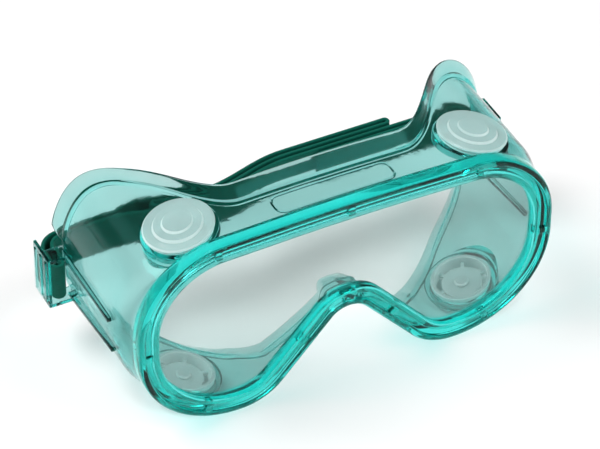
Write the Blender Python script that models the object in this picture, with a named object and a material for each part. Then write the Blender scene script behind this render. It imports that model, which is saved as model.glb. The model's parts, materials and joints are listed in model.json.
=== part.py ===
"""Indirect-vent safety goggles: soft body, clear lens, four vents and a folded strap.

Sizes are in millimetres in the goggles' own frame: X across the face, Y from the front of the rim
back to the face, Z up, with zero at the middle of the front face. MM turns them into metres. The
empty "goggles" moves that frame, so that the origin is the bottom centre of the whole.
"""
import math

import bmesh
import bpy
from mathutils import Matrix, Vector

MM = 0.001
GAP = 0.3                       # clearance between pieces that touch
STAND = 41.28                   # height of the frame's zero above the table

# Front rim, seen from the front: corners of the mask shape and their radii.
RIM_HALF_WIDTH = 81.5
RIM_TOP = 40.2                  # crown of the slightly arched top edge
RIM_TOP_CORNER = 37.9
RIM_BOTTOM = -40.4
LOBE_INNER_X = 32.5
NOTCH_TOP = -3.5
TOP_RADIUS = 900.0
TOP_CORNER_RADIUS = 34.0
LOBE_RADIUS = 38.0
LOBE_INNER_RADIUS = 22.0
NOTCH_RADIUS = 9.0

# Rim and wall section. Insets are measured inwards from the rim's outer outline.
RIM_DEPTH = 5.8
BEAD_CORNER = 0.7
CHANNEL_DEPTH = 1.0
CHANNEL = (2.7, 5.1)            # insets where the channel between the two beads starts and ends
LIP_INSET = 7.8                 # edge of the lens window
GROOVE_INSET = 5.0
GROOVE = (1.8, 3.4)             # depths where the lens groove starts and ends
BACK_LIP_DEPTH = 4.6
WALL = (3.8, 5.6)               # insets of the wall's outer and inner faces, above and below
SIDE_TURN = (0.35, 0.9)         # how far the outline faces sideways where the side walls set in
SIDE_OUT = (3.0, 5.8)           # how much further out those stand, at the rim and from the shoulder
SHOULDER = 0.22                 # where the shoulder is, as a share of the wall's depth
WALL_START = (0.6, 1.0)         # how far behind the rim the wall's outer and inner faces start
WALL_STOP = (1.0, 0.2)          # how far before the face flange they end

# Bridges across the channel, as fractions of the half outline from the crown to the notch.
BRIDGES = (0.0, 0.229, 0.483, 0.689, 0.912, 1.0)
BRIDGE_HALF = 1.6
BRIDGE_RAMP = 0.7
BRIDGE_CLEAR = 1.0              # other sections keep this far away from a bridge

# Rear edge: how deep the wall is where the face flange starts, and the flange.
FOREHEAD_DEPTH = 23.0
TEMPLE_DEPTH = 60.0
NOSE_DEPTH = 10.0
FOREHEAD_FALL = (32.0, 75.0)    # half-widths between which the rear edge runs back to the ears
CHEEK_REACH = 76.0              # half-width at which the lower edge is as deep as the temples
CHEEK_POWER = 1.8
SHARE_TURN = 0.5                # how far the wall leans up or down where one depth rule takes over
FLANGE_WIDTH = 6.2
FLANGE_EXTRA = 1.4              # extra width over the forehead and the nose
FLANGE_HALF_THICK = 0.7
FLANGE_STUB = 1.0               # width left of the flange where the strap passes
FLARE = 33.0                    # degrees that the flange turns off the wall's own direction
FLARE_SWING = 6.0               # added over the forehead, taken off under the cheeks

# The two lugs moulded on the sides, and the flange left out where the strap passes.
STRAP_Z = -6.5
PIVOT_Y = 60.0                  # middle of the lug's bar, about which the strap's loops lift
BAR = (86.1, 87.7)
BAR_HALF_Y = 1.0
COVER = (90.2, 91.4)
COVER_Y = (55.5, 68.5)
COVER_EDGE = 0.2                # how far the cover reaches past the legs
SLOT_HALF = 9.3
LEG = 1.6
LEG_Y = (55.2, 62.0)
LEG_ROOTS = (82.6, 79.6)        # where the upper and the lower leg start, inside the wall
LADDER_Y = (57.6, 62.0, 66.4)
LADDER_HALF = 0.8
LADDER_RISE = 0.5
FLANGE_GAP = (12.5, 19.0)       # distances from the strap where the flange fades in
TEMPLE = (60.0, 70.0)           # half-widths over which that gap in the flange sets in
BITE = 0.5                      # how far blocks of the lug run into each other
SIDE_RIBS = ((3.6, 3.6, 82.6, 85.0), (-10.8, -14.2, 80.7, 83.8))    # heights at both ends, root, crest
SIDE_RIB_Y = (19.0, 56.5)
SIDE_RIB_HALF = 0.9

# Strap path in plan.
STRAP_WIDTH = 15.5
STRAP_THICK = 1.4
INNER_LAYER_X = 84.9
OUTER_LAYER_X = 88.9
LOOP_FRONT_Y = 57.5             # centre of the bend in front of the lug's bar
CORNER_RADIUS = 5.0
TAIL_Y = 70.8
LAYER_PITCH = 2.4
TAIL_END_X = 24.0
LEFT_FOLD_X = -42.0
RIGHT_FOLD_X = 54.0
FOLD_RADIUS = 1.2
LEFT_CLOSING = (-47.0, -58.0)   # where the rear layer closes up to the left tail
BOW = (7.0, -24.0, 36.0)        # how far the folded pack bows forwards, where, and over what reach

# Vents: axis positions on the right, and radii and heights above the collar's face.
VENT_TILT = 12.0
UPPER_VENT = (57.0, 18.9, 34.8)
LOWER_VENT = (56.8, 19.6, -35.7)
COLLAR_R = 14.0
COLLAR_LENGTH = 13.0
COLLAR_EDGE = 0.4
BORE_R = 11.5
BORE_ABOVE = 2.0                # how far the boring tool stands above the collar's face
CAVITY_INSET = 4.7              # the collars end inside the wall, at this inset
CAVITY = (1.0, 60.0)            # depths between which they are trimmed
BASE_R = BORE_R - GAP
BASE_OPEN_R = 9.8
BASE_FLANGE_R = 12.4
BASE_FLANGE = (0.3, 0.9)
BASE_LENGTH = 4.5
HUB_R = 7.5
HUB_BORE_R = 2.5
HUB = (-1.7, -0.5)
SPOKES = 6
SPOKE_HALF = 0.6
SPOKE_TIP_R = 10.5
CAP_STEPS = ((12.9, 2.2), (12.0, 2.8), (9.0, 3.3), (8.6, 3.8), (5.6, 4.1), (5.2, 4.6), (0.0, 4.8))
CAP_SKIRT = (12.9, 11.9, 1.7)
CAP_UNDER = 1.9
STEM_R = HUB_BORE_R - GAP
STEM_HEAD_R = 3.1
STEM_HEAD = (-3.0, -2.0)

# Fineness.
ROUND_STEPS = 24
ARC_STEP = 11.5                 # degrees between sections in the outline's corners
LINE_STEP = 6.5                 # distance between sections elsewhere
BEND_STEP = 22.5                # degrees between points in the strap's bends
PATH_STEP = 9.0                 # distance between points on its long stretches
SHARP_ANGLE = 35.0
TINY = 0.001                    # points closer than this are one point


# ------------------------------------------------------------------ scene, materials, solids

def clear_scene():
    for thing in list(bpy.data.objects):
        bpy.data.objects.remove(thing, do_unlink=True)


def material(name, colour, roughness, alpha=1.0):
    made = bpy.data.materials.new(name)
    made.use_nodes = True
    shader = made.node_tree.nodes["Principled BSDF"]
    shader.inputs["Base Color"].default_value = (*colour, 1.0)
    shader.inputs["Roughness"].default_value = roughness
    shader.inputs["Metallic"].default_value = 0.0
    shader.inputs["Alpha"].default_value = alpha
    return made


def add_object(name, bm, parent, look=None):
    """Turn a mesh given in millimetres into an object in metres."""
    bmesh.ops.scale(bm, vec=(MM, MM, MM), verts=bm.verts)
    bmesh.ops.recalc_face_normals(bm, faces=bm.faces)
    mesh = bpy.data.meshes.new(name)
    bm.to_mesh(mesh)
    bm.free()
    mesh.shade_smooth()
    mesh.set_sharp_from_angle(angle=math.radians(SHARP_ANGLE))
    if look:
        mesh.materials.append(look)
    made = bpy.data.objects.new(name, mesh)
    bpy.context.collection.objects.link(made)
    made.parent = parent
    return made


def add_tool(name, bm, parent):
    """An operand of a Boolean, which is not a piece of its own."""
    tool = add_object(name, bm, parent)
    tool.hide_render = True
    tool.display_type = 'WIRE'
    return tool


def combine(target, operation, tool):
    step = target.modifiers.new(tool.name, 'BOOLEAN')
    step.operation = operation
    step.object = tool
    step.solver = 'EXACT'


def loft(rings, closed=True):
    """Skin between rings of points. A closed loft joins the last ring to the first one."""
    bm = bmesh.new()
    rows = [[bm.verts.new(point) for point in ring] for ring in rings]
    count = len(rows[0])
    for i in range(len(rows) if closed else len(rows) - 1):
        here = rows[i]
        there = rows[(i + 1) % len(rows)]
        for k in range(count):
            onward = (k + 1) % count
            bm.faces.new((here[k], here[onward], there[onward], there[k]))
    if not closed:
        bm.faces.new(rows[0])
        bm.faces.new(rows[-1])
    return bm


def side_box(side, low, high):
    """A box given by two corners for the right-hand side, on the side asked for."""
    size = [b - a for a, b in zip(low, high)]
    middle = [(a + b) / 2 for a, b in zip(low, high)]
    bm = bmesh.new()
    bmesh.ops.create_cube(bm, size=1.0)
    bmesh.ops.scale(bm, vec=size, verts=bm.verts)
    bmesh.ops.translate(bm, vec=(side * middle[0], *middle[1:]), verts=bm.verts)
    return bm


def turned(profile):
    """Solid of revolution of a (radius, height) profile, its axis points merged."""
    rings = []
    for k in range(ROUND_STEPS):
        angle = math.tau * k / ROUND_STEPS
        rings.append([(r * math.cos(angle), r * math.sin(angle), h) for r, h in profile])
    bm = loft(rings)
    bmesh.ops.remove_doubles(bm, verts=bm.verts, dist=TINY)
    bmesh.ops.dissolve_degenerate(bm, edges=bm.edges, dist=TINY)
    return bm


# ------------------------------------------------------------------ mask outline

def corner_points():
    """Corners of the rim's outline from the crown clockwise, as (x, z, radius)."""
    right = [
        (RIM_HALF_WIDTH, RIM_TOP_CORNER, TOP_CORNER_RADIUS),
        (RIM_HALF_WIDTH, RIM_BOTTOM, LOBE_RADIUS),
        (LOBE_INNER_X, RIM_BOTTOM, LOBE_INNER_RADIUS),
    ]
    left = [(-x, z, radius) for x, z, radius in reversed(right)]
    return [(0.0, RIM_TOP, TOP_RADIUS), *right, (0.0, NOTCH_TOP, NOTCH_RADIUS), *left]


def corner_arc(before, corner, after, radius):
    """Round stretch that blends a corner: its start, centre, clockwise turn and length."""
    along = (corner - before).normalized()
    onward = (after - corner).normalized()
    turn = math.atan2(along.y * onward.x - along.x * onward.y, along.dot(onward))
    start = corner - along * radius * math.tan(abs(turn) / 2)
    to_centre = Vector((along.y, -along.x)) * math.copysign(radius, turn)
    return {"start": start, "centre": start + to_centre, "turn": turn, "length": radius * abs(turn)}


def outline_pieces():
    """Round and straight stretches of the outline, clockwise, the crown's arc first."""
    corners = corner_points()
    points = [Vector((x, z)) for x, z, radius in corners]
    arcs = []
    for i, (x, z, radius) in enumerate(corners):
        arcs.append(corner_arc(points[i - 1], points[i], points[(i + 1) % len(points)], radius))
    pieces = []
    for i, arc in enumerate(arcs):
        end = at_distance(arc, arc["length"])[0]
        run = arcs[(i + 1) % len(arcs)]["start"] - end
        pieces.append(arc)
        pieces.append({"start": end, "run": run.normalized(), "turn": 0.0, "length": run.length})
    return pieces


def at_distance(piece, distance):
    """Point and inward normal at a distance along one stretch."""
    if "run" in piece:
        inward = Vector((piece["run"].y, -piece["run"].x))
        return piece["start"] + piece["run"] * distance, inward
    arm = piece["start"] - piece["centre"]
    arm.rotate(Matrix.Rotation(-piece["turn"] * distance / piece["length"], 2))
    inward = -arm.normalized() * math.copysign(1, piece["turn"])
    return piece["centre"] + arm, inward


def at_mark(pieces, mark):
    """Point and inward normal at a distance round the whole outline, from the first stretch."""
    for piece in pieces:
        if mark <= piece["length"]:
            return at_distance(piece, mark)
        mark -= piece["length"]
    return at_distance(pieces[0], 0.0)


def apart(mark, other, total):
    """Shortest way between two distances round the closed outline."""
    return abs((mark - other + total / 2) % total - total / 2)


def bridge_marks(crown, total):
    """Distances of all bridges, the right half's and then the left half's."""
    right = [crown + fraction * total / 2 for fraction in BRIDGES]
    left = [crown - fraction * total / 2 for fraction in BRIDGES[1:-1]]
    return [mark % total for mark in right + left]


def section_marks(pieces, total, bridges):
    """Distances at which sections stand: spread over each stretch, and four at each bridge."""
    marks = []
    start = 0.0
    for piece in pieces:
        by_length = round(piece["length"] / LINE_STEP)
        by_turn = round(math.degrees(abs(piece["turn"])) / ARC_STEP)
        steps = max(1, by_length, by_turn)
        marks += [start + piece["length"] * k / steps for k in range(steps)]
        start += piece["length"]
    reach = BRIDGE_HALF + BRIDGE_RAMP
    for bridge in bridges:
        marks = [mark for mark in marks if apart(mark, bridge, total) > reach + BRIDGE_CLEAR]
    for bridge in bridges:
        marks += [(bridge + shift) % total for shift in (-reach, -BRIDGE_HALF, BRIDGE_HALF, reach)]
    return sorted(marks)


def sections(with_bridges):
    """Places along the outline: point, inward normal and whether a bridge stands there."""
    pieces = outline_pieces()
    total = sum(piece["length"] for piece in pieces)
    crown = pieces[0]["length"] / 2
    bridges = bridge_marks(crown, total) if with_bridges else []
    found = []
    for mark in section_marks(pieces, total, bridges):
        point, inward = at_mark(pieces, mark)
        bridged = any(apart(mark, bridge, total) < BRIDGE_HALF + TINY for bridge in bridges)
        found.append((point, inward, bridged))
    return found


# ------------------------------------------------------------------ body

def smooth_step(low, high, value):
    t = min(1.0, max(0.0, (value - low) / (high - low)))
    return t * t * (3 - 2 * t)


def wall_depth(point, inward):
    """Depth at which the face flange starts, at one place of the outline."""
    across = min(1.0, abs(point.x) / CHEEK_REACH)
    fall = smooth_step(*FOREHEAD_FALL, abs(point.x))
    upper = FOREHEAD_DEPTH + (TEMPLE_DEPTH - FOREHEAD_DEPTH) * fall
    lower = NOSE_DEPTH + (TEMPLE_DEPTH - NOSE_DEPTH) * across ** CHEEK_POWER
    share = smooth_step(-SHARE_TURN, SHARE_TURN, -inward.y)
    return lower + (upper - lower) * share


def flange_width(point):
    """Width of the face flange, which is left out where the strap passes the temples."""
    middle = 1.0 - (point.x / RIM_HALF_WIDTH) ** 2
    width = FLANGE_WIDTH + FLANGE_EXTRA * middle
    beside_strap = smooth_step(*FLANGE_GAP, abs(point.y - STRAP_Z))
    left_out = smooth_step(*TEMPLE, abs(point.x)) * (1.0 - beside_strap)
    return width + (FLANGE_STUB - width) * left_out


def body_section(point, inward, bridged):
    """Closed section of rim, wall and flange as (inset, depth), from the front outer bead round."""
    depth = wall_depth(point, inward)
    width = flange_width(point)
    flare = math.radians(FLARE + FLARE_SWING * -inward.y)
    floor = 0.0 if bridged else CHANNEL_DEPTH
    sideways = smooth_step(*SIDE_TURN, abs(inward.x))
    front_outer, front_inner = (inset - SIDE_OUT[0] * sideways for inset in WALL)
    outer, inner = (inset - SIDE_OUT[1] * sideways for inset in WALL)
    shoulder = RIM_DEPTH + SHOULDER * (depth - RIM_DEPTH)
    middle = (outer + inner) / 2
    tip = (middle - width * math.sin(flare), depth + width * math.cos(flare))
    skin = (FLANGE_HALF_THICK * math.cos(flare), FLANGE_HALF_THICK * math.sin(flare))
    return [
        (0.0, CHANNEL_DEPTH),
        (BEAD_CORNER, 0.0),
        (CHANNEL[0] - BEAD_CORNER, 0.0),
        (CHANNEL[0], floor),
        (CHANNEL[1], floor),
        (CHANNEL[1] + BEAD_CORNER, 0.0),
        (LIP_INSET - BEAD_CORNER, 0.0),
        (LIP_INSET, BEAD_CORNER),
        (LIP_INSET, GROOVE[0]),
        (GROOVE_INSET, GROOVE[0]),
        (GROOVE_INSET, GROOVE[1]),
        (LIP_INSET, GROOVE[1]),
        (LIP_INSET, BACK_LIP_DEPTH),
        (front_inner, RIM_DEPTH + WALL_START[1]),
        (inner, shoulder),
        (inner, depth - WALL_STOP[1]),
        (tip[0] + skin[0], tip[1] + skin[1]),
        (tip[0] - skin[0], tip[1] - skin[1]),
        (outer, depth - WALL_STOP[0]),
        (outer, shoulder),
        (front_outer, RIM_DEPTH + WALL_START[0]),
        (BEAD_CORNER, RIM_DEPTH),
        (0.0, RIM_DEPTH - BEAD_CORNER),
    ]


def place_section(point, inward, section):
    """Section points in three dimensions."""
    ring = []
    for inset, depth in section:
        spot = point + inward * inset
        ring.append((spot.x, depth, spot.y))
    return ring


def outline_prism(inset, front, back):
    """Straight prism with the outline's shape at an inset, between two depths."""
    near = []
    far = []
    for point, inward, bridged in sections(with_bridges=False):
        spot = point + inward * inset
        near.append((spot.x, front, spot.y))
        far.append((spot.x, back, spot.y))
    return loft([near, far], closed=False)


def vent_places():
    """Name, side, centre and axis angle about Y of each vent."""
    places = []
    for side, side_name in ((-1, "left"), (1, "right")):
        x, y, z = UPPER_VENT
        places.append((f"upper_{side_name}", (side * x, y, z), side * VENT_TILT))
        x, y, z = LOWER_VENT
        places.append((f"lower_{side_name}", (side * x, y, z), side * (180 - VENT_TILT)))
    return places


def set_on_vent(thing, centre, angle):
    thing.location = Vector(centre) * MM
    thing.rotation_euler = (0.0, math.radians(angle), 0.0)


def add_collars(body, parent):
    """Round collars for the four vents, trimmed inside the wall. Returns their boring tools."""
    cavity = add_tool("cavity_guide", outline_prism(CAVITY_INSET, *CAVITY), parent)
    bores = []
    for name, centre, angle in vent_places():
        drum = [(0.0, -COLLAR_LENGTH), (COLLAR_R, -COLLAR_LENGTH), (COLLAR_R, -COLLAR_EDGE),
                (COLLAR_R - COLLAR_EDGE, 0.0), (0.0, 0.0)]
        collar = add_tool(f"collar_{name}_guide", turned(drum), parent)
        set_on_vent(collar, centre, angle)
        combine(collar, 'DIFFERENCE', cavity)
        combine(body, 'UNION', collar)
        hole = [(0.0, -COLLAR_LENGTH), (BORE_R, -COLLAR_LENGTH), (BORE_R, BORE_ABOVE),
                (0.0, BORE_ABOVE)]
        bore = add_tool(f"bore_{name}_guide", turned(hole), parent)
        set_on_vent(bore, centre, angle)
        bores.append(bore)
    return bores


def lug_blocks():
    """Corners of the blocks of the right-hand lug: legs, bar, cover and ladder bars."""
    top = STRAP_Z + SLOT_HALF
    bottom = STRAP_Z - SLOT_HALF
    blocks = {
        "upper_leg": ((LEG_ROOTS[0], LEG_Y[0], top), (COVER[0] + BITE, LEG_Y[1], top + LEG)),
        "lower_leg": ((LEG_ROOTS[1], LEG_Y[0], bottom - LEG), (COVER[0] + BITE, LEG_Y[1], bottom)),
        "bar": ((BAR[0], PIVOT_Y - BAR_HALF_Y, bottom - BITE),
                (BAR[1], PIVOT_Y + BAR_HALF_Y, top + BITE)),
        "cover": ((COVER[0], COVER_Y[0], bottom - LEG - COVER_EDGE),
                  (COVER[1], COVER_Y[1], top + LEG + COVER_EDGE)),
    }
    for number, y in enumerate(LADDER_Y):
        blocks[f"ladder_{number}"] = (
            (COVER[1] - BITE, y - LADDER_HALF, bottom), (COVER[1] + LADDER_RISE, y + LADDER_HALF, top))
    return blocks


def side_rib(side, front_z, back_z, root, crest):
    """Rib along a side wall, whose height changes steadily towards the lug."""
    front_y, back_y = SIDE_RIB_Y
    low = (root, front_y, front_z - SIDE_RIB_HALF)
    high = (crest, back_y, front_z + SIDE_RIB_HALF)
    bm = side_box(side, low, high)
    for vert in bm.verts:
        vert.co.z += (back_z - front_z) * (vert.co.y - front_y) / (back_y - front_y)
    return bm


def add_lugs(body, parent):
    for side, side_name in ((-1, "left"), (1, "right")):
        for name, (low, high) in lug_blocks().items():
            tool = add_tool(f"{name}_{side_name}_guide", side_box(side, low, high), parent)
            combine(body, 'UNION', tool)
        for number, rib in enumerate(SIDE_RIBS):
            tool = add_tool(f"rib_{number}_{side_name}_guide", side_rib(side, *rib), parent)
            combine(body, 'UNION', tool)


def make_body(parent, look):
    rings = [place_section(point, inward, body_section(point, inward, bridged))
             for point, inward, bridged in sections(with_bridges=True)]
    body = add_object("body", loft(rings), parent, look)
    bores = add_collars(body, parent)
    add_lugs(body, parent)
    for bore in bores:
        combine(body, 'DIFFERENCE', bore)


# ------------------------------------------------------------------ lens, vents, strap

def make_lens(parent, look):
    plate = outline_prism(GROOVE_INSET + GAP, GROOVE[0] + GAP, GROOVE[1] - GAP)
    add_object("lens", plate, parent, look)


def spider():
    """Hub with spokes as a prism: a star outline round the hub's bore."""
    root = math.asin(SPOKE_HALF / HUB_R)
    tip = math.asin(SPOKE_HALF / SPOKE_TIP_R)
    star = []
    for k in range(SPOKES):
        middle = math.tau * k / SPOKES
        between = math.tau / SPOKES / 2
        star += [(middle - root, HUB_R), (middle - tip, SPOKE_TIP_R), (middle + tip, SPOKE_TIP_R),
                 (middle + root, HUB_R), (middle + between, HUB_R)]
    rings = []
    for angle, radius in star:
        beam = Vector((math.cos(angle), math.sin(angle)))
        rings.append([(*(beam * r), h) for r, h in (
            (HUB_BORE_R, HUB[0]), (radius, HUB[0]), (radius, HUB[1]), (HUB_BORE_R, HUB[1]))])
    return loft(rings)


def make_vent_base(name, centre, angle, parent, look):
    """Ring with an outer flange, joined to its hub by spokes."""
    ring = turned([
        (BASE_OPEN_R, -BASE_LENGTH), (BASE_R, -BASE_LENGTH), (BASE_R, BASE_FLANGE[0]),
        (BASE_FLANGE_R, BASE_FLANGE[0]), (BASE_FLANGE_R, BASE_FLANGE[1]),
        (BASE_OPEN_R, BASE_FLANGE[1])])
    base = add_object(f"vent_base_{name}", ring, parent, look)
    set_on_vent(base, centre, angle)
    hub = add_tool(f"hub_{name}_guide", spider(), parent)
    set_on_vent(hub, centre, angle)
    combine(base, 'UNION', hub)


def make_vent_cap(name, centre, angle, parent, look):
    """Stepped mushroom cap whose stem snaps through the hub and can turn in it."""
    skirt_out, skirt_in, skirt_h = CAP_SKIRT
    profile = [
        (0.0, STEM_HEAD[0]), (STEM_R, STEM_HEAD[0]), (STEM_HEAD_R, STEM_HEAD[1]),
        (STEM_R, STEM_HEAD[1]), (STEM_R, CAP_UNDER), (skirt_in, CAP_UNDER), (skirt_in, skirt_h),
        (skirt_out, skirt_h), *CAP_STEPS]
    cap = add_object(f"vent_cap_{name}", turned(profile), parent, look)
    set_on_vent(cap, centre, angle)


def bend(centre, radius, start, end):
    """Points of a plan arc between two directions in degrees."""
    steps = round(abs(end - start) / BEND_STEP)
    points = []
    for k in range(steps + 1):
        angle = math.radians(start + (end - start) * k / steps)
        points.append(Vector((centre[0] + radius * math.cos(angle),
                              centre[1] + radius * math.sin(angle))))
    return points


def strap_end(outer_y):
    """Right-hand stretch in plan: tail, round the flange's end, loop round the bar, main band."""
    loop_radius = (OUTER_LAYER_X - INNER_LAYER_X) / 2
    loop_x = (OUTER_LAYER_X + INNER_LAYER_X) / 2
    wide = CORNER_RADIUS + OUTER_LAYER_X - INNER_LAYER_X
    path = [Vector((TAIL_END_X, TAIL_Y))]
    path += bend((INNER_LAYER_X - CORNER_RADIUS, TAIL_Y - CORNER_RADIUS), CORNER_RADIUS, 90, 0)
    path += bend((loop_x, LOOP_FRONT_Y), loop_radius, -180, 0)
    path += bend((OUTER_LAYER_X - wide, outer_y - wide), wide, 0, 90)
    return path


def bowed(point):
    """A point of the path, moved towards the body where the folded pack bows forwards."""
    depth, middle, reach = BOW
    share = min(1.0, abs(point.x - middle) / reach)
    return Vector((point.x, point.y - depth * math.cos(math.pi / 2 * share) ** 2))


def strap_path():
    """Centre line in plan: right tail, right lug, two folds behind the body, left lug, left tail."""
    front = TAIL_Y + LAYER_PITCH
    middle = front + 2 * FOLD_RADIUS
    back = middle + 2 * FOLD_RADIUS
    closing = [Vector((LEFT_CLOSING[0], back)), Vector((LEFT_CLOSING[1], front))]
    left = [Vector((-point.x, point.y)) for point in reversed(strap_end(front))]
    corners = strap_end(front)
    corners += bend((LEFT_FOLD_X, front + FOLD_RADIUS), FOLD_RADIUS, 270, 90)
    corners += bend((RIGHT_FOLD_X, middle + FOLD_RADIUS), FOLD_RADIUS, -90, 90)
    corners += closing + left
    path = [corners[0]]
    for point in corners[1:]:
        steps = max(1, round((point - path[-1]).length / PATH_STEP))
        path += [path[-1].lerp(point, (k + 1) / steps) for k in range(steps)]
    return [bowed(point) for point in path]


def make_strap(parent, look):
    """Flat band swept along the path. Its origin is on the axis through both lug bars."""
    path = strap_path()
    rings = []
    for i, point in enumerate(path):
        along = (path[min(i + 1, len(path) - 1)] - path[max(i - 1, 0)]).normalized()
        aside = Vector((along.y, -along.x)) * STRAP_THICK / 2
        ring = []
        for shift, z in ((-1, -1), (1, -1), (1, 1), (-1, 1)):
            spot = point + aside * shift
            ring.append((spot.x, spot.y - PIVOT_Y, z * STRAP_WIDTH / 2))
        rings.append(ring)
    strap = add_object("strap", loft(rings, closed=False), parent, look)
    strap.location = Vector((0.0, PIVOT_Y, STRAP_Z)) * MM


def main():
    clear_scene()
    frame = bpy.data.objects.new("goggles", None)
    bpy.context.collection.objects.link(frame)
    depth = TAIL_Y + LAYER_PITCH + 4 * FOLD_RADIUS + STRAP_THICK / 2
    frame.location = Vector((0.0, -depth / 2, STAND)) * MM
    soft = material("green_vinyl", (0.10, 0.62, 0.55), 0.18, 0.55)
    clear = material("clear_polycarbonate", (0.80, 0.88, 0.86), 0.05, 0.25)
    frosted = material("frosted_plastic", (0.62, 0.76, 0.74), 0.45, 0.8)
    webbing = material("dark_green_elastic", (0.01, 0.13, 0.10), 0.75)
    make_body(frame, soft)
    make_lens(frame, clear)
    for name, centre, angle in vent_places():
        make_vent_base(name, centre, angle, frame, frosted)
        make_vent_cap(name, centre, angle, frame, frosted)
    make_strap(frame, webbing)


main()
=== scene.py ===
"""Looks of the safety goggles: tinted soft vinyl, clear lens, frosted vents and a woven strap.

Shapes are in millimetres in the goggles' own frame: X across, Y from the front of the rim back to
the wearer, Z up, with zero on the rim's front face at about the middle of its height. place()
turns them into the row's metres.
"""
import json
import math

import bmesh
import bpy
from mathutils import Matrix, Vector


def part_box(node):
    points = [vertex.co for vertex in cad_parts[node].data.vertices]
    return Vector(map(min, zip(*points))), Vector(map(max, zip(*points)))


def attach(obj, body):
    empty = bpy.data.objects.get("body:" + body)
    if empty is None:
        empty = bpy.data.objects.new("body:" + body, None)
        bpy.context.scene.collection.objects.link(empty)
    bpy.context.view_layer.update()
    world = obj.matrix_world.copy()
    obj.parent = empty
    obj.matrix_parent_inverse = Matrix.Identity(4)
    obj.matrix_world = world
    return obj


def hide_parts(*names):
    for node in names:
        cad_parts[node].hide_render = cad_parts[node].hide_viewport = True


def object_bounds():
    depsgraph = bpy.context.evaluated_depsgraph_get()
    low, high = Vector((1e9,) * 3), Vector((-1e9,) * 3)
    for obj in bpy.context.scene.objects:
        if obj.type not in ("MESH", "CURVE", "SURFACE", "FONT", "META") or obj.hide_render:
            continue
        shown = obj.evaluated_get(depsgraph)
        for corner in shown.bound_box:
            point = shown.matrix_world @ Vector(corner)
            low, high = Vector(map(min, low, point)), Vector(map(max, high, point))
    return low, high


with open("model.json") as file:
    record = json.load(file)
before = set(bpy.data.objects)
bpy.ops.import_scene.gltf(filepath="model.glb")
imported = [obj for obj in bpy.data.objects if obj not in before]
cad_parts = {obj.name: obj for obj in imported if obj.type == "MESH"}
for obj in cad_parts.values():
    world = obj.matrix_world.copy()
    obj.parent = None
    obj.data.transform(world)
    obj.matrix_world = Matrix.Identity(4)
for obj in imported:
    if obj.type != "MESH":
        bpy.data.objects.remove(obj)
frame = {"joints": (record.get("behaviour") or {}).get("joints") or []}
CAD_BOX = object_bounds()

MM = 0.001
JOINTS = {joint["name"]: joint for joint in frame["joints"]}
STRAP_AXIS = Vector(JOINTS["strap_swing"]["pos_m"]) / MM
STRAP_Z = -6.5                  # height of the strap's middle in the goggles' own frame
# Where that frame's zero lies in the row: on the rim's front face, a little above the strap's axis.
ZERO = Vector((0.0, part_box("body")[0][1] / MM, STRAP_AXIS.z - STRAP_Z))

# Front rim, seen from the front: corners of the mask shape and their radii.
RIM_HALF_WIDTH = 81.5
RIM_TOP = 40.2
RIM_TOP_CORNER = 37.9
RIM_BOTTOM = -40.4
LOBE_INNER_X = 32.5
NOTCH_TOP = -3.5
TOP_RADIUS = 900.0
TOP_CORNER_RADIUS = 34.0
LOBE_RADIUS = 38.0
LOBE_INNER_RADIUS = 22.0
NOTCH_RADIUS = 9.0

# Section of rim, wall and flange. Insets run inwards from the rim's outer outline.
RIM_DEPTH = 5.8
CHANNEL_DEPTH = 1.0
LIP_INSET = 7.8
GROOVE_INSET = 5.0
GROOVE = (1.8, 3.4)             # depths of the lens groove's front and back
WALL = (3.8, 5.6)               # outer and inner face of the wall, above and below
SIDE_TURN = (0.35, 0.9)         # how far the outline faces sideways where the side walls set in
SIDE_OUT = (3.0, 5.8)           # how much further out those stand, at the rim and from the shoulder
SHOULDER = 0.22                 # where the shoulder is, as a share of the wall's depth
BACK_CORNER = (0.9, 0.35)       # radius of the rim's back corner, above and at the sides
WALL_START = (0.1, 1.0)         # how far behind the rim the wall's outer and inner faces start
WALL_START_RADIUS = (0.3, 0.8)
WALL_STOP = (1.0, 0.2)          # how far before the flange's depth they end
# Corners of the rim's section round the front to the lens groove: inset, depth, radius.
RIM_CORNERS = (
    (0.0, 0.0, 1.1), (2.5, 0.0, 0.7), (2.75, CHANNEL_DEPTH, 0.3),
    (5.05, CHANNEL_DEPTH, 0.3), (5.3, 0.0, 0.7), (LIP_INSET, 0.0, 0.9), (LIP_INSET, GROOVE[0], 0.1),
    (GROOVE_INSET, GROOVE[0], 0.1), (GROOVE_INSET, GROOVE[1], 0.1), (LIP_INSET, GROOVE[1], 0.1),
    (LIP_INSET, 4.6, 0.4))
CHANNEL_REACH = (1.9, 5.9)      # insets between which a bridge fills the channel
CHANNEL_BACK = 1.6              # depth that parts the channel's points from the lens groove's
BRIDGES = (0.0, 0.229, 0.483, 0.689, 0.912, 1.0)  # shares of the way from the crown to the nose
BRIDGE_HALF = 1.2               # half of a bridge's length along the outline
BRIDGE_RAMP = 0.7               # length over which it falls away at each end

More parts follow.
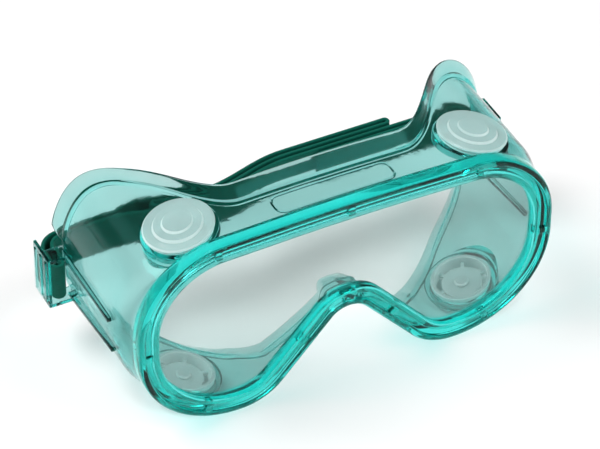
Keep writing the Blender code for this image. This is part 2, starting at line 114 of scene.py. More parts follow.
FOREHEAD_DEPTH = 23.0
TEMPLE_DEPTH = 60.0
NOSE_DEPTH = 10.0
FOREHEAD_FALL = (32.0, 75.0)    # x between which the upper wall deepens to the temple's depth
CHEEK_REACH = 76.0              # x at which the lower wall reaches the temple's depth
CHEEK_POWER = 1.8               # the higher, the later it deepens on the way there
SHARE_TURN = 0.5                # upright part of the inward normal at which upper and lower take over
FLANGE_WIDTH = 6.2
FLANGE_EXTRA = 1.4              # added to the width at the middle
FLANGE_HALF_THICK = 0.7
FLANGE_STUB = 1.0               # width where the strap passes
FLANGE_BEND = 1.2               # radius between the wall and the flange at full width
FLANGE_TIP_RADIUS = 0.6
SEAM_REACH = 1.4                # how far the ridge between wall and flange spreads along each
SEAM_RISE = 1.1                 # how far it stands out of their corner
SEAM_RADIUS = 0.35
FLARE = 33.0                    # degrees by which the flange leans outwards
FLARE_SWING = 6.0               # degrees more above and less below
FLANGE_GAP = (12.5, 19.0)       # distances from the strap's height over which the flange sets in
TEMPLE = (60.0, 70.0)           # x over which it gives way to the strap
WALL_SPANS = 20                 # faces along the wall, from the rim to the flange
FLANGE_SPANS = 3

# Lugs for the strap.
PIVOT_Y = STRAP_AXIS.y - ZERO.y
BAR = (86.1, 87.7)              # x of the inner bar's two sides
BAR_HALF_Y = 1.0
COVER = (90.2, 91.4)            # x of the cover plate's two sides
COVER_Y = (55.5, 68.5)
COVER_EDGE = 0.2
SLOT_HALF = 9.3                 # half the height of the strap's slot
LEG = 1.6
LEG_Y = (55.2, 62.0)
LEG_ROOTS = (82.6, 79.6)        # x where the upper and the lower leg start
LADDER_Y = (57.6, 62.0, 66.4)
LADDER_HALF = 0.8
LADDER_RISE = 0.5
# Ribs of the side walls: height at the front and at the back, x of the root and of the crest.
SIDE_RIBS = ((3.6, 3.6, 82.6, 85.0), (-10.8, -14.2, 80.7, 83.8))
SIDE_RIB_Y = (19.0, 56.5)
SIDE_RIB_HALF = 0.9
BITE = 0.5                      # overlap that joins one block to the next
EDGE_ROUND = 0.35

# Plain raised outline on the top wall.
PANEL_HALF = (23.0, 4.6)
PANEL_Y = 14.4
PANEL_CORNER = 3.2
PANEL_RIDGE = 0.55
PANEL_SINK = 0.1                # how far the ridge's middle lies under the wall's face
PANEL_SPANS = 8                 # faces round the ridge, and along each side of its path

# Strap.
STRAP_WIDTH = 15.5
STRAP_THICK = 1.4
STRAP_CORDS = 11                # lengthwise cords that show on its faces
CORD_RISE = 0.07
CORD_POINTS = 4                 # points of the section across each cord
EDGE_SPANS = 6                  # faces round each long edge of the band
INNER_LAYER_X = 84.9
OUTER_LAYER_X = 88.9
LOOP_FRONT_Y = 57.5
CORNER_RADIUS = 5.0
TAIL_Y = 70.8
LAYER_PITCH = 2.4               # from the tail to the first layer behind it
TAIL_END_X = 24.0
LEFT_FOLD_X = -42.0
RIGHT_FOLD_X = 54.0
FOLD_RADIUS = 1.2
LEFT_CLOSING = (-47.0, -58.0)   # x between which the last layer closes up to the first
BOW = (7.0, -24.0, 36.0)        # how far the strap bows forward, x of the bow's middle, half its length
PATH_STEP = 1.5
BEND_STEP = 9.0                 # degrees between points of a bend

# Vents.
COLLAR_R = 14.0
COLLAR_LENGTH = 13.0
COLLAR_EDGE = 0.5
BORE_R = 11.5
BORE_ABOVE = 2.0                # how far the boring tool stands above the collar's face
CAVITY_INSET = 4.7              # the collars end inside the wall, at this inset
CAVITY = (1.0, 60.0)            # depths between which they are trimmed
BASE_R = 11.2
BASE_OPEN_R = 9.8
BASE_FLANGE_R = 12.4
BASE_FLANGE = (0.3, 0.9)        # heights of the flange's two faces above the collar
BASE_LENGTH = 4.5
HUB_R = 7.5
HUB_BORE_R = 2.5
HUB = (-1.7, -0.5)              # heights of the hub's two faces
SPOKES = 6
SPOKE_HALF = 0.6
SPOKE_TIP_R = 10.5
SPOKE_GAP_SPANS = 6             # faces of the hub between two spokes
STEM_R = 2.2
STEM_HEAD_R = 3.1
# Corners of the cap's section from the stem's end up over the rings: radius, height, rounding.
CAP_CORNERS = (
    (0.0, -3.0, 0), (STEM_R, -3.0, 0.3), (STEM_HEAD_R, -2.0, 0.3), (STEM_R, -2.0, 0.1),
    (STEM_R, 1.9, 0.2), (11.9, 1.9, 0.1), (11.9, 1.7, 0.05), (12.9, 1.7, 0.15), (12.9, 2.2, 0.2),
    (12.3, 2.7, 0.4), (9.2, 2.75, 0.3), (8.6, 3.75, 0.3), (5.8, 3.8, 0.3), (5.2, 4.6, 0.3),
    (0.0, 4.8, 0))

# Lens.
LENS_GAP = 0.3                  # between the lens and its groove
LENS_EDGE = 0.12                # bevel round the lens

# Fineness.
ROUND_STEPS = 96
ARC_POINTS = 4                  # faces round each rounded corner of a section
LINE_STEP = 2.2                 # distance between sections along the outline
TURN_STEP = 3.0                 # degrees between sections in its corners
BRIDGE_STEP = 0.35
SMOOTH_ANGLE = 32.0             # degrees up to which an edge is shaded smooth
WELD = 0.001                    # points closer than this are merged

CAMERA_AZIMUTH = -27.2
CAMERA_ELEVATION = 40.7
CAMERA_ROLL = 0.6
CAMERA_DISTANCE = 1.3
CAMERA_FILL = 0.86              # share of the picture's width that CAMERA_SPAN takes up
CAMERA_SPAN = 0.185
FAR_AWAY = 10.0                 # distance up to which the camera sees

# Lamps: place, size of the square and power.
KEY = ((-0.75, 0.35, 1.25), 0.8, 20.5)
FILL = ((0.8, -0.8, 1.1), 0.9, 13.5)
SPARKLE = ((-0.2, 0.0, 1.35), 0.35, 4.0)
SKY_TOP = 0.22                  # upright part of the view's direction from which the sky is dim
SKY_STRENGTH = (1.0, 0.15)      # at the horizon and from SKY_TOP upwards
FLOOR_HALF = 3.0
LIGHT_BOUNCES = 24              # enough for light that crosses many clear layers

RAMP_INPUTS = ("From Min", "From Max", "To Min", "To Max")


# ------------------------------------------------------------------ solids

def place(obj):
    """Turn a mesh in the goggles' own millimetres into the row's metres."""
    obj.data.transform(Matrix.Translation(ZERO * MM) @ Matrix.Scale(MM, 4))


def add_object(name, bm):
    bmesh.ops.recalc_face_normals(bm, faces=bm.faces)
    mesh = bpy.data.meshes.new(name)
    bm.to_mesh(mesh)
    bm.free()
    made = bpy.data.objects.new(name, mesh)
    bpy.context.scene.collection.objects.link(made)
    return made


def merge(target, steps):
    """Carry out Booleans, given as (operation, tool), on the target's mesh."""
    for operation, tool in steps:
        modifier = target.modifiers.new("merge", 'BOOLEAN')
        modifier.operation = operation
        modifier.object = tool
        modifier.solver = 'MANIFOLD'
    bpy.context.view_layer.update()
    evaluated = target.evaluated_get(bpy.context.evaluated_depsgraph_get())
    mesh = bpy.data.meshes.new_from_object(evaluated)
    target.modifiers.clear()
    target.data = mesh
    for operation, tool in steps:
        bpy.data.objects.remove(tool)


def loft(rings, closed=True):
    """Skin between rings of points. A closed loft joins the last ring to the first one."""
    bm = bmesh.new()
    rows = [[bm.verts.new(point) for point in ring] for ring in rings]
    count = len(rows[0])
    for i in range(len(rows) if closed else len(rows) - 1):
        here = rows[i]
        there = rows[(i + 1) % len(rows)]
        for k in range(count):
            onward = (k + 1) % count
            bm.faces.new((here[k], here[onward], there[onward], there[k]))
    if not closed:
        bm.faces.new(rows[0])
        bm.faces.new(rows[-1])
    return bm


def fillet(before, corner, after, radius):
    """Points of the arc that rounds one corner."""
    back = (before - corner).normalized()
    onward = (after - corner).normalized()
    half = back.angle(onward) / 2
    start = corner + back * radius / math.tan(half)
    centre = corner + (back + onward).normalized() * radius / math.sin(half)
    arm = start - centre
    turn = math.copysign(math.pi - 2 * half, -back.x * onward.y + back.y * onward.x)
    points = []
    for k in range(ARC_POINTS + 1):
        swung = arm.copy()
        swung.rotate(Matrix.Rotation(turn * k / ARC_POINTS, 2))
        points.append(centre + swung)
    return points


def rounded(corners, closed=True):
    """Outline through corners given as (u, v, radius) or (u, v, radius, spans to the next corner)."""
    count = len(corners)
    spots = [Vector(corner[:2]) for corner in corners]
    arcs = []
    for i, corner in enumerate(corners):
        if corner[2] > 0:
            arcs.append(fillet(spots[i - 1], spots[i], spots[(i + 1) % count], corner[2]))
        else:
            arcs.append([spots[i]])
    points = []
    for i, corner in enumerate(corners):
        points += arcs[i]
        last = i == count - 1
        if len(corner) > 3 and not (last and not closed):
            goal = arcs[(i + 1) % count][0]
            spans = corner[3]
            points += [arcs[i][-1].lerp(goal, k / spans) for k in range(1, spans)]
    return points


def turned(profile):
    """Solid of revolution of a (radius, height) profile, its axis points merged."""
    rings = []
    for k in range(ROUND_STEPS):
        angle = math.tau * k / ROUND_STEPS
        rings.append([(r * math.cos(angle), r * math.sin(angle), h) for r, h in profile])
    bm = loft(rings)
    bmesh.ops.remove_doubles(bm, verts=bm.verts, dist=WELD)
    bmesh.ops.dissolve_degenerate(bm, edges=bm.edges, dist=WELD)
    return bm


def side_box(side, low, high):
    """A box with rounded edges, given by two corners for the right, on the side asked for."""
    size = [b - a for a, b in zip(low, high)]
    middle = [(a + b) / 2 for a, b in zip(low, high)]
    bm = bmesh.new()
    bmesh.ops.create_cube(bm, size=1.0)
    bmesh.ops.scale(bm, vec=size, verts=bm.verts)
    bmesh.ops.translate(bm, vec=(side * middle[0], *middle[1:]), verts=bm.verts)
    bmesh.ops.bevel(bm, geom=list(bm.edges), offset=EDGE_ROUND, segments=3, profile=0.5,
                    affect='EDGES')
    return bm


# ------------------------------------------------------------------ mask outline

def corner_arc(before, corner, after, radius):
    """Round stretch that blends a corner: its start, centre, clockwise turn and length."""
    along = (corner - before).normalized()
    onward = (after - corner).normalized()
    turn = math.atan2(along.y * onward.x - along.x * onward.y, along.dot(onward))
    start = corner - along * radius * math.tan(abs(turn) / 2)
    to_centre = Vector((along.y, -along.x)) * math.copysign(radius, turn)
    return {"start": start, "centre": start + to_centre, "turn": turn, "length": radius * abs(turn)}


def outline_pieces():
    """Round and straight stretches of the rim's outline, clockwise, the crown's arc first."""
    right = [
        (RIM_HALF_WIDTH, RIM_TOP_CORNER, TOP_CORNER_RADIUS),
        (RIM_HALF_WIDTH, RIM_BOTTOM, LOBE_RADIUS),
        (LOBE_INNER_X, RIM_BOTTOM, LOBE_INNER_RADIUS),
    ]
    left = [(-x, z, radius) for x, z, radius in reversed(right)]
    corners = [(0.0, RIM_TOP, TOP_RADIUS), *right, (0.0, NOTCH_TOP, NOTCH_RADIUS), *left]
    points = [Vector((x, z)) for x, z, radius in corners]
    arcs = []
    for i, (x, z, radius) in enumerate(corners):
        arcs.append(corner_arc(points[i - 1], points[i], points[(i + 1) % len(points)], radius))
    pieces = []
    for i, arc in enumerate(arcs):
        end = at_distance(arc, arc["length"])[0]
        run = arcs[(i + 1) % len(arcs)]["start"] - end
        pieces.append(arc)
        pieces.append({"start": end, "run": run.normalized(), "turn": 0.0, "length": run.length})
    return pieces


def at_distance(piece, distance):
    """Point and inward normal at a distance along one stretch."""
    if "run" in piece:
        inward = Vector((piece["run"].y, -piece["run"].x))
        return piece["start"] + piece["run"] * distance, inward
    arm = piece["start"] - piece["centre"]
    arm.rotate(Matrix.Rotation(-piece["turn"] * distance / piece["length"], 2))
    inward = -arm.normalized() * math.copysign(1, piece["turn"])
    return piece["centre"] + arm, inward


def at_mark(pieces, mark):
    """Point and inward normal at a distance round the whole outline."""
    for piece in pieces:
        if mark <= piece["length"]:
            return at_distance(piece, mark)
        mark -= piece["length"]
    return at_distance(pieces[0], 0.0)


def apart(mark, other, total):
    """Shortest way between two distances round the closed outline."""
    return abs((mark - other + total / 2) % total - total / 2)


def section_marks(pieces, total, bridges):
    """Distances at which sections stand, close together at each bridge."""
    marks = []
    start = 0.0
    for piece in pieces:
        by_length = math.ceil(piece["length"] / LINE_STEP)
        by_turn = math.ceil(math.degrees(abs(piece["turn"])) / TURN_STEP)
        steps = max(1, by_length, by_turn)
        marks += [start + piece["length"] * k / steps for k in range(steps)]
        start += piece["length"]
    near = round((BRIDGE_HALF + BRIDGE_RAMP) / BRIDGE_STEP) + 1
    for bridge in bridges:
        marks = [m for m in marks if apart(m, bridge, total) > (near + 1) * BRIDGE_STEP]
    for bridge in bridges:
        marks += [(bridge + k * BRIDGE_STEP) % total for k in range(-near, near + 1)]
    return sorted(marks)


def sections(with_bridges):
    """Places along the outline: point, inward normal, and depth of the channel as a share."""
    pieces = outline_pieces()
    total = sum(piece["length"] for piece in pieces)
    crown = pieces[0]["length"] / 2
    bridges = []
    if with_bridges:
        bridges = [(crown + fraction * total / 2) % total for fraction in BRIDGES]
        bridges += [(crown - fraction * total / 2) % total for fraction in BRIDGES[1:-1]]
    found = []
    for mark in section_marks(pieces, total, bridges):
        point, inward = at_mark(pieces, mark)
        nearest = min((apart(mark, bridge, total) for bridge in bridges), default=total)
        channel = smooth_step(BRIDGE_HALF, BRIDGE_HALF + BRIDGE_RAMP, nearest)
        found.append((point, inward, channel))
    return found


def smooth_step(low, high, value):
    """0 up to low and 1 from high on, with a soft change between them."""
    t = min(1.0, max(0.0, (value - low) / (high - low)))
    return t * t * (3 - 2 * t)


# ------------------------------------------------------------------ body

def wall_depth(point, inward):
    """Depth at which the face flange starts, at one place of the outline."""
    across = min(1.0, abs(point.x) / CHEEK_REACH)
    fall = smooth_step(*FOREHEAD_FALL, abs(point.x))
    upper = FOREHEAD_DEPTH + (TEMPLE_DEPTH - FOREHEAD_DEPTH) * fall
    lower = NOSE_DEPTH + (TEMPLE_DEPTH - NOSE_DEPTH) * across ** CHEEK_POWER
    share = smooth_step(-SHARE_TURN, SHARE_TURN, -inward.y)
    return lower + (upper - lower) * share


def flange_width(point):
    """Width of the face flange, which is left out where the strap passes the temples."""
    middle = 1.0 - (point.x / RIM_HALF_WIDTH) ** 2
    width = FLANGE_WIDTH + FLANGE_EXTRA * middle
    beside_strap = smooth_step(*FLANGE_GAP, abs(point.y - STRAP_Z))
    left_out = smooth_step(*TEMPLE, abs(point.x)) * (1.0 - beside_strap)
    return width + (FLANGE_STUB - width) * left_out


def seam_corners(corner, flare, fullness):
    """Corners of the ridge that fills the outer corner between flange and wall."""
    along_flange = Vector((-math.sin(flare), math.cos(flare)))
    outward = Vector((-math.cos(flare / 2), -math.sin(flare / 2)))
    radius = SEAM_RADIUS * fullness
    on_flange = corner + along_flange * SEAM_REACH * fullness
    crest = corner + outward * SEAM_RISE * fullness
    on_wall = (corner.x, corner.y - SEAM_REACH * fullness, radius, WALL_SPANS)
    return (*on_flange, radius), (*crest, radius), on_wall


def body_section(point, inward, channel):
    """Closed section of rim, wall and flange as (inset, depth)."""
    depth = wall_depth(point, inward)
    width = flange_width(point)
    flare = math.radians(FLARE + FLARE_SWING * -inward.y)
    sideways = smooth_step(*SIDE_TURN, abs(inward.x))
    outer, inner = (inset - SIDE_OUT[0] * sideways for inset in WALL)
    middle = (outer + inner) / 2
    tip = (middle - width * math.sin(flare), depth + width * math.cos(flare))
    skin = (FLANGE_HALF_THICK * math.cos(flare), FLANGE_HALF_THICK * math.sin(flare))
    fullness = min(1.0, width / FLANGE_WIDTH)
    bend = FLANGE_BEND * fullness
    back_corner = BACK_CORNER[0] + (BACK_CORNER[1] - BACK_CORNER[0]) * sideways
    corners = [
        (0.0, RIM_DEPTH, back_corner),
        *RIM_CORNERS,
        (inner, RIM_DEPTH + WALL_START[1], WALL_START_RADIUS[1], WALL_SPANS),
        (inner, depth - WALL_STOP[1], bend, FLANGE_SPANS),
        (tip[0] + skin[0], tip[1] + skin[1], FLANGE_TIP_RADIUS),
        (tip[0] - skin[0], tip[1] - skin[1], FLANGE_TIP_RADIUS, FLANGE_SPANS),
        *seam_corners(Vector((outer, depth - WALL_STOP[0])), flare, fullness),
        (outer, RIM_DEPTH + WALL_START[0], WALL_START_RADIUS[0]),
    ]
    shoulder = RIM_DEPTH + SHOULDER * (depth - RIM_DEPTH)
    section = []
    for spot in rounded(corners):
        bulge = (SIDE_OUT[1] - SIDE_OUT[0]) * sideways * smooth_step(RIM_DEPTH, shoulder, spot.y)
        in_channel = CHANNEL_REACH[0] < spot.x < CHANNEL_REACH[1] and spot.y < CHANNEL_BACK
        section.append((spot.x - bulge, spot.y * channel if in_channel else spot.y))
    return section


def outline_prism(inset, front, back):
    """Straight prism with the outline's shape at an inset, between two depths."""
    near = []
    far = []
    for point, inward, channel in sections(with_bridges=False):
        spot = point + inward * inset
        near.append((spot.x, front, spot.y))
        far.append((spot.x, back, spot.y))
    return loft([near, far], closed=False)


def vents():
    """Name, the cap's body and the placement in the goggles' own frame of each vent."""
    found = []
    for joint in frame["joints"]:
        if joint["name"].startswith("cap_turn_"):
            centre = Vector(joint["pos_m"]) / MM - ZERO
            turn = Vector((0.0, 0.0, 1.0)).rotation_difference(Vector(joint["axis"]))
            spot = Matrix.Translation(centre) @ turn.to_matrix().to_4x4()
            found.append((joint["name"].removeprefix("cap_turn_"), joint["child"], spot))
    return found


def collar_steps():
    """Booleans that add the four vent collars, and those that bore them."""
    rims = []
    bores = []
    for name, body, spot in vents():
        drum = [(0.0, -COLLAR_LENGTH, 0), (COLLAR_R, -COLLAR_LENGTH, 0), (COLLAR_R, 0.0, COLLAR_EDGE),
                (0.0, 0.0, 0)]
        collar = add_object(f"collar_{name}", turned(rounded(drum, closed=False)))
        collar.data.transform(spot)
        cavity = add_object("cavity", outline_prism(CAVITY_INSET, *CAVITY))
        merge(collar, [('DIFFERENCE', cavity)])
        rims.append(('UNION', collar))
        hole = [(0.0, -COLLAR_LENGTH), (BORE_R, -COLLAR_LENGTH), (BORE_R, -COLLAR_EDGE),
                (BORE_R + COLLAR_EDGE, 0.0), (BORE_R + COLLAR_EDGE, BORE_ABOVE),
                (0.0, BORE_ABOVE)]
        bore = add_object(f"bore_{name}", turned(hole))
        bore.data.transform(spot)
        bores.append(('DIFFERENCE', bore))
    return rims, bores


def lug_blocks():
    """Corners of the blocks of the right-hand lug: legs, bar, cover and ladder bars."""
    top = STRAP_Z + SLOT_HALF
    bottom = STRAP_Z - SLOT_HALF
    blocks = [
        ((LEG_ROOTS[0], LEG_Y[0], top), (COVER[0] + BITE, LEG_Y[1], top + LEG)),
        ((LEG_ROOTS[1], LEG_Y[0], bottom - LEG), (COVER[0] + BITE, LEG_Y[1], bottom)),
        ((BAR[0], PIVOT_Y - BAR_HALF_Y, bottom - BITE), (BAR[1], PIVOT_Y + BAR_HALF_Y, top + BITE)),
        ((COVER[0], COVER_Y[0], bottom - LEG - COVER_EDGE),
         (COVER[1], COVER_Y[1], top + LEG + COVER_EDGE)),
    ]
    for y in LADDER_Y:
        blocks.append(((COVER[1] - BITE, y - LADDER_HALF, bottom),
                       (COVER[1] + LADDER_RISE, y + LADDER_HALF, top)))
    return blocks


def side_rib(side, front_z, back_z, root, crest):
    """Rib along a side wall, whose height changes steadily towards the lug."""
    front_y, back_y = SIDE_RIB_Y
    low = (root, front_y, front_z - SIDE_RIB_HALF)
    high = (crest, back_y, front_z + SIDE_RIB_HALF)
    bm = side_box(side, low, high)
    for vert in bm.verts:
        vert.co.z += (back_z - front_z) * (vert.co.y - front_y) / (back_y - front_y)
    return bm


def lug_steps():
    """Booleans that add both lugs and the side walls' ribs."""
    steps = []
    for side in (-1, 1):
        for low, high in lug_blocks():
            steps.append(('UNION', add_object("lug_block", side_box(side, low, high))))
        for rib in SIDE_RIBS:
            steps.append(('UNION', add_object("side_rib", side_rib(side, *rib))))
    return steps


def panel_step():
    """The raised outline on the top wall, as a ring of round section sunk into the wall."""
    half_x, half_y = PANEL_HALF
    corners = [(-half_x, -half_y), (half_x, -half_y), (half_x, half_y), (-half_x, half_y)]
    path = rounded([(x, y, PANEL_CORNER, PANEL_SPANS) for x, y in corners])
    arc = outline_pieces()[0]
    rings = []
    for i, spot in enumerate(path):
        along = (path[(i + 1) % len(path)] - path[i - 1]).normalized()
        aside = Vector((along.y, -along.x))
        height = arc["centre"].y + math.sqrt((TOP_RADIUS - WALL[0]) ** 2 - spot.x ** 2)
        ring = []
        for k in range(PANEL_SPANS):
            angle = math.tau * k / PANEL_SPANS
            at = spot + aside * PANEL_RIDGE * math.cos(angle)
            rise = PANEL_RIDGE * math.sin(angle) - PANEL_SINK
            ring.append((at.x, at.y + PANEL_Y, height + rise))
        rings.append(ring)
    return ('UNION', add_object("panel", loft(rings)))


def make_body():
    """Skin of the body through all its sections, with collars, lugs, ribs and outline joined on."""
    rings = []
    for point, inward, channel in sections(with_bridges=True):
        ring = []
        for inset, depth in body_section(point, inward, channel):
            spot = point + inward * inset
            ring.append((spot.x, depth, spot.y))
        rings.append(ring)
    body = add_object("goggle_body", loft(rings))
    rims, bores = collar_steps()
    merge(body, [*rims, *lug_steps(), panel_step(), *bores])
    return body


# ------------------------------------------------------------------ lens and vents

def make_lens():
    """Plate with bevelled edges, held clear of the rim's groove."""
    front = GROOVE[0] + LENS_GAP
    back = GROOVE[1] - LENS_GAP
    profile = ((LENS_EDGE, front), (0.0, front + LENS_EDGE), (0.0, back - LENS_EDGE),
               (LENS_EDGE, back))
    rings = []
    for inset, depth in profile:
        ring = []
        for point, inward, channel in sections(with_bridges=False):
            spot = point + inward * (GROOVE_INSET + LENS_GAP + inset)
            ring.append((spot.x, depth, spot.y))
        rings.append(ring)
    return add_object("lens_plate", loft(rings, closed=False))


def spider():
    """Hub with spokes as a prism: a star outline round the hub's bore."""
    root = math.asin(SPOKE_HALF / HUB_R)
    tip = math.asin(SPOKE_HALF / SPOKE_TIP_R)
    star = []
    for k in range(SPOKES):
        middle = math.tau * k / SPOKES
        star += [(middle - root, HUB_R), (middle - tip, SPOKE_TIP_R), (middle + tip, SPOKE_TIP_R),
                 (middle + root, HUB_R)]
        between = math.tau / SPOKES - 2 * root
        star += [(middle + root + between * n / SPOKE_GAP_SPANS, HUB_R)
                 for n in range(1, SPOKE_GAP_SPANS)]
    rings = []
    for angle, radius in star:
        beam = Vector((math.cos(angle), math.sin(angle)))
        rings.append([(*(beam * r), h) for r, h in (
            (HUB_BORE_R, HUB[0]), (radius, HUB[0]), (radius, HUB[1]), (HUB_BORE_R, HUB[1]))])
    return loft(rings)


def make_vent_base(name, spot):
    """Flanged ring with its hub and spokes."""
    profile = [
        (BASE_OPEN_R, -BASE_LENGTH, 0.3), (BASE_R, -BASE_LENGTH, 0.3), (BASE_R, BASE_FLANGE[0], 0.1),
        (BASE_FLANGE_R, BASE_FLANGE[0], 0.2), (BASE_FLANGE_R, BASE_FLANGE[1], 0.25),
        (BASE_OPEN_R, BASE_FLANGE[1], 0.3)]
    base = add_object(f"vent_seat_{name}", turned(rounded(profile)))
    merge(base, [('UNION', add_object("hub", spider()))])
    base.data.transform(spot)
    return base


def make_vent_cap(name, spot):
    """Stepped mushroom cap with its stem."""
    cap = add_object(f"vent_lid_{name}", turned(rounded(CAP_CORNERS, closed=False)))
    cap.data.transform(spot)
    return cap


# ------------------------------------------------------------------ strap

def bend(centre, radius, start, end):
    """Points of a plan arc between two directions in degrees."""
    steps = round(abs(end - start) / BEND_STEP)
    points = []
    for k in range(steps + 1):
        angle = math.radians(start + (end - start) * k / steps)
        points.append(Vector((centre[0] + radius * math.cos(angle),
                              centre[1] + radius * math.sin(angle))))
    return points


def strap_end(outer_y):
    """Right-hand stretch in plan: tail, round the flange's end, loop round the bar, main band."""
    loop_radius = (OUTER_LAYER_X - INNER_LAYER_X) / 2
    loop_x = (OUTER_LAYER_X + INNER_LAYER_X) / 2
    wide = CORNER_RADIUS + OUTER_LAYER_X - INNER_LAYER_X
    path = [Vector((TAIL_END_X, TAIL_Y))]
    path += bend((INNER_LAYER_X - CORNER_RADIUS, TAIL_Y - CORNER_RADIUS), CORNER_RADIUS, 90, 0)
    path += bend((loop_x, LOOP_FRONT_Y), loop_radius, -180, 0)
    path += bend((OUTER_LAYER_X - wide, outer_y - wide), wide, 0, 90)
    return path


def strap_path():
    """Centre line in plan: right tail, right lug, two folds behind the body, left lug, left tail."""
    front = TAIL_Y + LAYER_PITCH
    middle = front + 2 * FOLD_RADIUS
    back = middle + 2 * FOLD_RADIUS
    corners = strap_end(front)
    corners += bend((LEFT_FOLD_X, front + FOLD_RADIUS), FOLD_RADIUS, 270, 90)
    corners += bend((RIGHT_FOLD_X, middle + FOLD_RADIUS), FOLD_RADIUS, -90, 90)
    corners += [Vector((LEFT_CLOSING[0], back)), Vector((LEFT_CLOSING[1], front))]
    corners += [Vector((-point.x, point.y)) for point in reversed(strap_end(front))]
    path = [corners[0]]
    for point in corners[1:]:
        steps = max(1, round((point - path[-1]).length / PATH_STEP))
        path += [path[-1].lerp(point, (k + 1) / steps) for k in range(steps)]
    depth, centre, reach = BOW
    bowed = []
    for point in path:
        share = min(1.0, abs(point.x - centre) / reach)
        forward = depth * math.cos(math.pi / 2 * share) ** 2
        bowed.append(Vector((point.x, point.y - forward)))
    return bowed


def strap_section():
    """Closed section of the band as (offset across its thickness, height): cords and round edges."""
    half = STRAP_WIDTH / 2
    round_edge = STRAP_THICK / 2
    steps = STRAP_CORDS * CORD_POINTS
    face = []
    for k in range(steps + 1):
        z = (half - round_edge) * (2 * k / steps - 1)
        cord = CORD_RISE * (math.cos(math.tau * STRAP_CORDS * k / steps) - 1) / 2
        face.append((STRAP_THICK / 2 + cord, z))
    edge = []
    for k in range(1, EDGE_SPANS):
        angle = math.pi * k / EDGE_SPANS
        edge.append((round_edge * math.cos(angle), half - round_edge + round_edge * math.sin(angle)))
    lower_half = [(-thick, z) for thick, z in reversed(face)] + [(-thick, -z) for thick, z in edge]
    return lower_half + face + edge


def make_strap():
    """The band's section, carried along its folded path."""
    path = strap_path()
    section = strap_section()
    rings = []
    for i, point in enumerate(path):
        along = (path[min(i + 1, len(path) - 1)] - path[max(i - 1, 0)]).normalized()
        aside = Vector((along.y, -along.x))
        rings.append([(*(point + aside * thick), STRAP_Z + z) for thick, z in section])
    return add_object("head_band", loft(rings, closed=False))


# ------------------------------------------------------------------ materials

class Nodes:
    """Short helper for building a material's node tree."""

    def __init__(self, name):
        self.material = bpy.data.materials.new(name)
        self.material.use_nodes = True
        self.tree = self.material.node_tree
        self.shader = self.tree.nodes["Principled BSDF"]
        self.output = self.tree.nodes["Material Output"]

    def add(self, kind, **values):
        node = self.tree.nodes.new(kind)
        for name, value in values.items():
            setattr(node, name, value)
        return node

    def link(self, source, target):
        self.tree.links.new(source, target)

    def noise(self, scale, detail=2.0):
        """Noise over the object's own coordinates, in cycles per metre."""
        where = self.add("ShaderNodeTexCoord")
        noise = self.add("ShaderNodeTexNoise")
        noise.inputs["Scale"].default_value = scale
        noise.inputs["Detail"].default_value = detail
        self.link(where.outputs["Object"], noise.inputs["Vector"])
        return noise.outputs["Fac"]

    def ramp(self, value, start, end, low, high):
        """Map the values from start to end onto low to high."""
        node = self.add("ShaderNodeMapRange")
        for name, number in zip(RAMP_INPUTS, (start, end, low, high)):
            node.inputs[name].default_value = number
        self.link(value, node.inputs["Value"])
        return node.outputs["Result"]

    def spread(self, value, low, high):
        """Map a 0 to 1 value onto a range."""
        return self.ramp(value, 0.0, 1.0, low, high)

    def blend(self, value, first, second):
        """Mix two colours by a value. Each is a plain (r, g, b) or another node's output."""
        node = self.add("ShaderNodeMix", data_type='RGBA')
        for name, colour in (("A", first), ("B", second)):
            if isinstance(colour, tuple):
                node.inputs[name].default_value = (*colour, 1.0)
            else:
                self.link(colour, node.inputs[name])
        self.link(value, node.inputs["Factor"])
        return node.outputs["Result"]

    def bump(self, height, distance, strength=1.0):
        node = self.add("ShaderNodeBump")
        node.inputs["Strength"].default_value = strength
        node.inputs["Distance"].default_value = distance
        self.link(height, node.inputs["Height"])
        self.link(node.outputs["Normal"], self.shader.inputs["Normal"])

    def let_light_through(self, tint):
        """Rays from lamps and from rough surfaces go straight through, tinted, not bent."""
        rays = self.add("ShaderNodeLightPath")
        either = self.add("ShaderNodeMath", operation='MAXIMUM')
        clear = self.add("ShaderNodeBsdfTransparent")
        clear.inputs["Color"].default_value = (*tint, 1.0)
        mix = self.add("ShaderNodeMixShader")
        self.link(rays.outputs["Is Shadow Ray"], either.inputs[0])
        self.link(rays.outputs["Is Diffuse Ray"], either.inputs[1])
        self.link(either.outputs["Value"], mix.inputs["Fac"])
        self.link(self.shader.outputs["BSDF"], mix.inputs[1])
        self.link(clear.outputs["BSDF"], mix.inputs[2])
        self.link(mix.outputs["Shader"], self.output.inputs["Surface"])

    def absorb(self, colour, density, shadow_density):
        """Colour that comes from depth, and a weaker one for the light that falls through."""
        rays = self.add("ShaderNodeLightPath")
        volume = self.add("ShaderNodeVolumeAbsorption")
        volume.inputs["Color"].default_value = (*colour, 1.0)
        strength = self.spread(rays.outputs["Is Shadow Ray"], density, shadow_density)
        self.link(strength, volume.inputs["Density"])
        self.link(volume.outputs["Volume"], self.output.inputs["Volume"])

    def behind(self, front, back):
        """0 before one depth of the piece and 1 behind another, both in metres along Y."""
        where = self.add("ShaderNodeTexCoord")
        parts = self.add("ShaderNodeSeparateXYZ")
        self.link(where.outputs["Object"], parts.inputs["Vector"])
        return self.ramp(parts.outputs["Y"], front, back, 0.0, 1.0)

    def lying_flat(self, steep, flat):
        """0 where the surface is steep and 1 where it lies flat, by the share of its normal along Z."""
        where = self.add("ShaderNodeNewGeometry")
        parts = self.add("ShaderNodeSeparateXYZ")
        size = self.add("ShaderNodeMath", operation='ABSOLUTE')
        self.link(where.outputs["Normal"], parts.inputs["Vector"])
        self.link(parts.outputs["Z"], size.inputs[0])
        return self.ramp(size.outputs["Value"], steep, flat, 0.0, 1.0)


